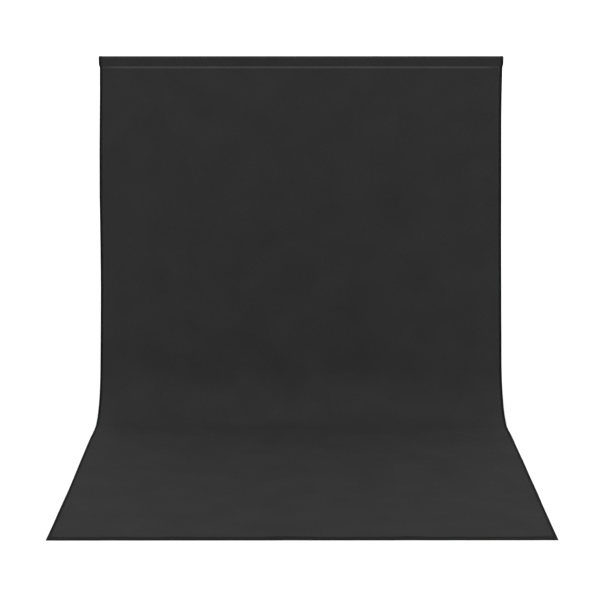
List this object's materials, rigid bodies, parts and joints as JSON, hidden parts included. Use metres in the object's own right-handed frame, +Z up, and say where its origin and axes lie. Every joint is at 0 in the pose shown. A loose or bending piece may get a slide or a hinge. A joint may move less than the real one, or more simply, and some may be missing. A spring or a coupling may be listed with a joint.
{
  "type": "photo backdrop with crossbar",
  "caption": "Wide black cloth photo backdrop with a sewn rod pocket on a sectional crossbar, hanging down and sweeping forward onto the floor.",
  "frame": {"origin": "on the floor, at the centre of the whole object's box", "axes": "+Z up; X across the width, along the crossbar; the front faces -Y, so the cloth hangs at +Y and runs forward over the floor to -Y"},
  "size_m": [3.05, 3.6, 2.696],
  "materials": {
    "backdrop_cloth": "matt black woven cloth",
    "hem_cloth": "the same cloth, doubled and pressed",
    "sewing_thread": "spun black thread",
    "label_cloth": "blank woven satin",
    "bar_tube": "satin black anodised",
    "moulded_plastic": "fine-grained black moulding",
    "pin_steel": "plain steel, flush"
  },
  "bodies": {
    "cloth": {"drop_panel": "backdrop_cloth", "sweep_panel": "backdrop_cloth", "floor_panel": "backdrop_cloth", "rod_pocket": "backdrop_cloth", "pocket_seam_welt": "hem_cloth", "pocket_stitching": "sewing_thread", "pocket_bartacks": "sewing_thread", "side_hem_left": "hem_cloth", "side_hem_right": "hem_cloth", "bottom_hem": "hem_cloth", "hem_stitching": "sewing_thread", "care_label": "label_cloth"},
    "bar_1": {"tube_section_1": "bar_tube", "coupling_1": "moulded_plastic", "coupling_pins_1": "pin_steel", "end_cap_left": "moulded_plastic"},
    "bar_2": {"tube_section_2": "bar_tube", "coupling_2": "moulded_plastic", "coupling_pins_2": "pin_steel"},
    "bar_3": {"tube_section_3": "bar_tube", "coupling_3": "moulded_plastic", "coupling_pins_3": "pin_steel"},
    "bar_4": {"tube_section_4": "bar_tube", "end_cap_right": "moulded_plastic"}
  },
  "joints": [
    {"name": "crossbar_slide", "type": "slide", "parent": "cloth", "child": "bar_2", "axis": [1, 0, 0], "range_m": [-3.05, 3.05]},
    {"name": "section_1_pull", "type": "slide", "parent": "bar_2", "child": "bar_1", "axis": [-1, 0, 0], "range_m": [0, 0.062]},
    {"name": "section_3_pull", "type": "slide", "parent": "bar_2", "child": "bar_3", "axis": [1, 0, 0], "range_m": [0, 0.062]},
    {"name": "section_4_pull", "type": "slide", "parent": "bar_3", "child": "bar_4", "axis": [1, 0, 0], "range_m": [0, 0.062]}
  ]
}
